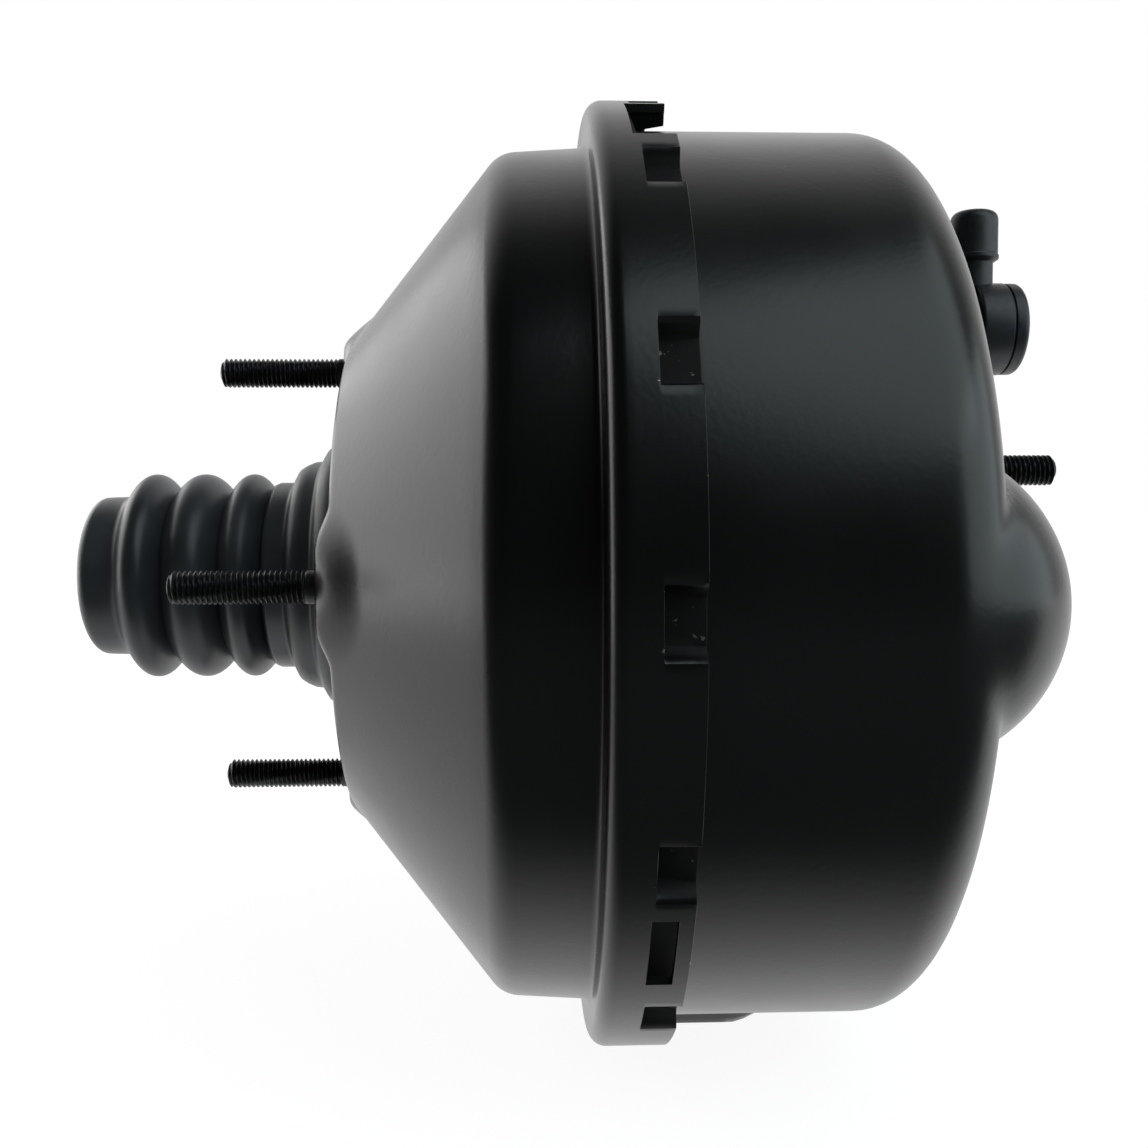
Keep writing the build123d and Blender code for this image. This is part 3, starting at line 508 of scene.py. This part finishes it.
# ---- boot --------------------------------------------------------------------------------------------
# The dust boot over the valve body's tail, moulded in EPDM rubber with three full folds. Its mouth is
# pushed over the shell's neck and flares out on the stud plate, and its end closes round the input rod.
rubber, tree, at = empty_material("moulded_epdm_rubber")
bloom = add(tree, "ShaderNodeTexNoise", {"Vector": at, "Scale": 60.0, "Detail": 6.0}).outputs["Fac"]
bloom = add(tree, "ShaderNodeMapRange", {
    "Value": bloom, "From Min": 0.35, "From Max": 0.75}).outputs["Result"]
tint = add(tree, "ShaderNodeMix", {
    "Factor": bloom, "A": linear("#2f3336"), "B": linear("#41464b")}, data_type="RGBA").outputs["Result"]
gloss = add(tree, "ShaderNodeMapRange", {
    "Value": bloom, "To Min": 0.34, "To Max": 0.46}).outputs["Result"]
grain = add(tree, "ShaderNodeTexNoise", {"Vector": at, "Scale": 1500.0, "Detail": 2.0}).outputs["Fac"]
grain = add(tree, "ShaderNodeBump", {
    "Height": grain, "Strength": 0.12, "Distance": 0.0001}).outputs["Normal"]
soft = add(tree, "ShaderNodeBsdfPrincipled", {
    "Base Color": tint, "Roughness": gloss, "IOR": 1.5, "Normal": grain}).outputs["BSDF"]
add(tree, "ShaderNodeOutputMaterial", {"Surface": soft})

line = [(-66.0, 4.4), (-70.2, 4.4), (-70.5, 4.7), (-70.6, 5.4), (-70.6, 9.0), (-70.5, 11.5)]
for part in np.linspace(0, 90, 12):
    line.append((-66.0 - 4.3 * np.cos(np.radians(part)) ** 0.9, 13.0 + 8.7 * np.sin(np.radians(part)) ** 0.9))
line += [(-64.2, 21.8), (-63.0, 21.8), (-60.4, 21.9), (-59.2, 22.2)]
valley_r, fold_height = 22.4, 5.7
for start, end in ((-58.8, -47.0), (-47.0, -32.2), (-32.2, -20.4)):
    for part in np.linspace(-1, 1, 19)[1:]:
        x = (start + end) / 2 + (end - start) / 2 * part
        line.append((x, valley_r + fold_height * (1 - abs(part) ** 2.1)))
line += [(-20.0, 25.2), (-18.8, 25.7), (-15.2, 25.7), (-14.2, 26.0), (-13.4, 28.2), (-12.6, 29.6),
         (-11.0, 30.6), (-9.0, 31.4), (-7.0, 31.6), (-6.3, 32.0), (-5.6, 33.6), (-4.6, 35.2),
         (-2.0, 36.8), (0.0, 37.6), (2.9, 38.0)]
boot = skin("boot", spin(np.array(line), np.arange(0, 360, 2.5)), rubber, sheet=1.5, even=False, crease=60)
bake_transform(boot)
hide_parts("boot")

# ---- check valve -------------------------------------------------------------------------------------
# The vacuum check valve, two mouldings of glass-filled nylon welded at the drum's rim. It turns in a
# rubber grommet in the front shell, and the engine's vacuum hose pushes onto its spigot.
nylon, tree, at = empty_material("moulded_glass_filled_nylon")
fibre = add(tree, "ShaderNodeTexNoise", {"Vector": at, "Scale": 700.0, "Detail": 5.0}).outputs["Fac"]
tint = add(tree, "ShaderNodeMix", {
    "Factor": fibre, "A": linear("#101417"), "B": linear("#1b2025")}, data_type="RGBA").outputs["Result"]
gloss = add(tree, "ShaderNodeMapRange", {
    "Value": fibre, "From Min": 0.3, "From Max": 0.7, "To Min": 0.36, "To Max": 0.5}).outputs["Result"]
spark = add(tree, "ShaderNodeBump", {
    "Height": fibre, "Strength": 0.1, "Distance": 0.0001}).outputs["Normal"]
moulded = add(tree, "ShaderNodeBsdfPrincipled", {
    "Base Color": tint, "Roughness": gloss, "IOR": 1.53, "Normal": spark}).outputs["BSDF"]
add(tree, "ShaderNodeOutputMaterial", {"Surface": moulded})


def turned(name, corners, radii, centre, finish, upright=False):
    """A solid turned from a rounded outline of (distance, radius), along the axis or upright, at a centre."""
    line = rounded(corners, radii, [4] * (len(corners) - 1), turn=15)
    grid = spin(line, np.arange(0, 360, 5.0))
    if upright:
        grid = np.stack([grid[..., 1], grid[..., 2], grid[..., 0]], axis=-1)
    return skin(name, grid + np.array(centre), finish)


barrel = turned(
    "check_valve_body",
    [(152.8, 3.0), (152.8, 5.6), (155.6, 6.8), (155.8, 6.0), (165.0, 6.0), (165.0, 9.6), (174.3, 9.6),
     (174.3, 12.8), (183.0, 12.8), (183.0, 11.0), (176.3, 11.0), (176.3, 7.6), (171.2, 7.6), (171.2, 3.0),
     (152.8, 3.0)],
    [0.4, 0.3, 0, 0.3, 0.8, 0.8, 0.8, 0.25, 0, 0, 0, 0, 0], (0, 0, valve_z), nylon)
spigot = turned(
    "spigot",
    [(78.0, 3.0), (78.0, 5.2), (87.0, 5.2), (88.0, 6.75), (89.0, 6.75), (89.3, 6.5), (101.4, 6.5),
     (101.4, 3.0), (78.0, 3.0)],
    [0, 0.4, 0.3, 0.3, 0.2, 2.5, 0.3], (175.6, 0, 0), nylon, upright=True)
weld = barrel.modifiers.new("moulded_in_one", "BOOLEAN")
weld.operation, weld.object, weld.solver = "UNION", spigot, "EXACT"
finished(barrel, 35)
bpy.data.objects.remove(spigot)
stand_in(barrel, "check_valve", "valve_plastic", "check_valve_body")

cap = turned(
    "check_valve_cap",
    [(180.0, 0), (180.0, 10.75), (183.0, 10.75), (183.0, 12.2), (183.5, 12.2), (183.5, 12.7), (187.4, 12.7),
     (187.4, 0)],
    [0.3, 0, 0, 0, 0.3, 1.6], (0, 0, valve_z), nylon)
stand_in(cap, "check_valve", "valve_plastic", "check_valve_cap")

grommet = turned(
    "check_valve_grommet",
    [(155.9, 6.05), (155.9, 10.5), (158.5, 10.5), (158.5, 9.0), (160.5, 9.0), (160.5, 11.8), (163.1, 11.0),
     (163.1, 6.05), (155.9, 6.05)],
    [0, 0.8, 0, 0, 0.3, 0.9, 0.3], (0, 0, valve_z), rubber)
stand_in(grommet, "housing", "rubber", "check_valve_grommet")

# ---- coil springs ------------------------------------------------------------------------------------
# Four compression springs inside, coiled from round oil-tempered wire.


def metal(name, dark, bright, rough, scale, squeeze=(1, 1, 1)):
    """A metal with a grain of the given scale, drawn out along one axis by squeeze."""
    made, tree, at = empty_material(name)
    at = add(tree, "ShaderNodeMapping", {"Vector": at, "Scale": squeeze}).outputs["Vector"]
    grain = add(tree, "ShaderNodeTexNoise", {"Vector": at, "Scale": scale, "Detail": 4.0}).outputs["Fac"]
    tint = add(tree, "ShaderNodeMix", {
        "Factor": grain, "A": linear(dark), "B": linear(bright)}, data_type="RGBA").outputs["Result"]
    gloss = add(tree, "ShaderNodeMapRange", {
        "Value": grain, "From Min": 0.3, "From Max": 0.7, "To Min": rough - 0.07,
        "To Max": rough + 0.07}).outputs["Result"]
    lines = add(tree, "ShaderNodeBump", {
        "Height": grain, "Strength": 0.08, "Distance": 0.0001}).outputs["Normal"]
    surface = add(tree, "ShaderNodeBsdfPrincipled", {
        "Base Color": tint, "Metallic": 1.0, "Roughness": gloss, "Normal": lines}).outputs["BSDF"]
    add(tree, "ShaderNodeOutputMaterial", {"Surface": surface})
    return made


spring_steel = metal("oil_tempered_spring_steel", "#4b4d50", "#75787b", 0.32, 500.0)
tree = bpy.data.node_groups.new("coil_spring", "GeometryNodeTree")
given = inputs(tree, turns="Float", radius="Float", wire="Float", length="Float", finish="Material")
height = add(tree, "ShaderNodeMath", {
    0: given.outputs["Length"], 1: given.outputs["Wire"]}, operation="SUBTRACT").outputs["Value"]
helix = add(tree, "GeometryNodeCurveSpiral", {
    "Resolution": 40, "Rotations": given.outputs["Turns"], "Start Radius": given.outputs["Radius"],
    "End Radius": given.outputs["Radius"], "Height": height})
half = add(tree, "ShaderNodeMath", {
    0: given.outputs["Wire"], 1: 0.5}, operation="MULTIPLY").outputs["Value"]
section = add(tree, "GeometryNodeCurvePrimitiveCircle", {"Resolution": 12, "Radius": half})
coiled = add(tree, "GeometryNodeCurveToMesh", {
    "Curve": helix.outputs["Curve"], "Profile Curve": section.outputs["Curve"], "Fill Caps": True})
lift = add(tree, "ShaderNodeCombineXYZ", {"X": half}).outputs["Vector"]
laid = add(tree, "GeometryNodeTransform", {
    "Geometry": coiled.outputs["Mesh"], "Translation": lift, "Rotation": (0, radians(90), 0)})
copies = add(tree, "GeometryNodeInstanceOnPoints", {
    "Points": given.outputs["Geometry"], "Instance": laid.outputs["Geometry"]})
solid = add(tree, "GeometryNodeRealizeInstances", {"Geometry": copies.outputs["Instances"]})
coated = add(tree, "GeometryNodeSetMaterial", {
    "Geometry": solid.outputs["Geometry"], "Material": given.outputs["Finish"]})
add(tree, "NodeGroupOutput", {"Geometry": coated.outputs["Geometry"]})

for name, body, first, last, rise, turns, radius, wire, press in (
        ("piston_return_spring", "power_piston", 78.71, 156.69, 0, 5.5, 28.0, 4.0,
         ("power_piston_stroke", 78.71, 35.0)),
        ("input_return_spring", "power_piston", -36.5, -23.4, 0, 5, 8.2, 1.4,
         ("air_valve_travel", -23.4, 2.0)),
        ("poppet_spring", "power_piston", -19.8, -8.5, 0, 3, 11.4, 0.9, None),
        ("check_valve_spring", "check_valve", 173.1, 180.0, valve_z, 5, 4.6, 0.7,
         ("check_disc_lift", 180.0, 1.8))):
    mesh = bpy.data.meshes.new(name)
    mesh.from_pydata([(first / 1000, 0, rise / 1000)], [], [])
    spring = grown(put(name, mesh), tree, turns=float(turns), radius=radius / 1000, wire=wire / 1000,
                   length=(last - first) / 1000, finish=spring_steel)
    finished(spring, 60)
    stand_in(spring, body, "spring_steel", name)
    if press:
        joint, held, travel = press
        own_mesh(spring)

# ---- diaphragms --------------------------------------------------------------------------------------
# Two rubber-coated fabric diaphragms, with a bead at the rim held by the shells and one at the hub held by
# the piston. The front one is made in two pieces that meet at its fold.


def moulding(name, dark, light, rough, scale, bump):
    """A plastic, rubber, felt or foam with a mottle and a bump of the given scale."""
    made, tree, at = empty_material(name)
    grain = add(tree, "ShaderNodeTexNoise", {"Vector": at, "Scale": scale, "Detail": 5.0}).outputs["Fac"]
    tint = add(tree, "ShaderNodeMix", {
        "Factor": grain, "A": linear(dark), "B": linear(light)}, data_type="RGBA").outputs["Result"]
    relief = add(tree, "ShaderNodeBump", {
        "Height": grain, "Strength": bump, "Distance": 0.0005}).outputs["Normal"]
    surface = add(tree, "ShaderNodeBsdfPrincipled", {
        "Base Color": tint, "Roughness": rough, "Normal": relief}).outputs["BSDF"]
    add(tree, "ShaderNodeOutputMaterial", {"Surface": surface})
    return made


def membrane(corners, radii, rim=(), hub=(), thick=1.5):
    """A closed outline of a membrane: its face from rim to hub, the beads' corners, and its back."""
    line = rounded(corners, radii, [3] * (len(corners) - 1), turn=12)
    along = np.gradient(line, axis=0)
    along /= np.linalg.norm(along, axis=1, keepdims=True)
    back = line + thick * np.stack([along[:, 1], -along[:, 0]], axis=-1)
    if hub:
        back = back[back[:, 1] > hub[-1][1] + 0.5]
    loop = [*rim, *line, *hub, *back[::-1]]
    return np.array([*loop, loop[0]])


rubber_sheet = moulding("calendered_rubber_sheet", "#17191a", "#232628", 0.55, 900.0, 0.12)
for name, node, outline, fixed, follows in (
        ("rear_diaphragm", "rear_diaphragm", membrane(
            [(68.5, 118.9), (68.5, 108.8), (47.26, 108.8), (16.9, 62.0), (16.9, 18.0)], [1.5, 4, 5],
            [(66.0, 118.4), (66.0, 120.8), (69.0, 120.8)], [(12.4, 18.0), (12.4, 22.5), (15.4, 22.5)]),
         0.0665, 0.0409),
        ("front_diaphragm", "front_diaphragm", membrane(
            [(112.65, 105.75), (112.65, 97.1), (93.9, 97.1), (75.9, 58.1), (75.9, 21.0)], [8.6, 3, 4],
            (), [(71.4, 21.0), (71.4, 25.5), (74.4, 25.5)]),
         0.1273, 0.098),
        ("front_diaphragm_rim", "front_diaphragm", membrane(
            [(72.1, 118.9), (72.1, 114.4), (112.65, 114.4), (112.65, 105.75)], [1, 8.6],
            [(70.4, 118.4), (70.4, 122.0), (72.2, 122.0)]),
         0.0722, 0.1531)):
    sheet = skin(name, spin(outline, np.arange(0, 360, 3.0)), rubber_sheet)
    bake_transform(sheet)
    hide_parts(node)

# ---- pieces as made in CAD ---------------------------------------------------------------------------
# The rest is right in shape as it is: turned rods, pressed plates, retaining rings, moulded valve parts,
# seals, felt and foam, mostly hidden inside. Each gets the finish of its real material.
for finish, names in (
        (metal("yellow_zinc_plated_steel", "#8d7c45", "#c8b878", 0.34, 300.0, (0.2, 1, 1)),
         ("input_rod", "output_rod", "output_rod_screw", "stop_key", "input_spring_seat",
          "valve_plunger", "reaction_piston")),
        (metal("rolled_mild_steel", "#77797b", "#a5a7a9", 0.42, 180.0, (1, 0.15, 1)),
         ("rear_reinforcement", "front_reinforcement", "rear_piston_plate", "front_piston_plate",
          "divider_plate", "return_spring_seat", "poppet_retainer", "neck_seal_retainer")),
        (spring_steel, ("piston_retaining_ring", "output_rod_retainer", "filter_retainer")),
        (moulding("phenolic_moulding", "#241d18", "#3a2e25", 0.42, 350.0, 0.1), ("valve_body",)),
        (moulding("natural_nylon", "#d6d2c4", "#e6e3d8", 0.4, 200.0, 0.05), ("neck_bush", "divider_bush")),
        (rubber_sheet, ("neck_seal", "divider_seal", "poppet_valve", "reaction_disc", "front_seal",
                        "check_valve_disc")),
        (moulding("open_cell_foam", "#1c1c1e", "#4c4c50", 0.9, 1200.0, 1.0), ("air_filter",)),
        (moulding("pressed_wool_felt", "#837b6e", "#b3aa9b", 0.95, 1500.0, 0.7), ("silencer_felt",))):
    for name in names:
        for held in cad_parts[name].material_slots:
            held.material = finish
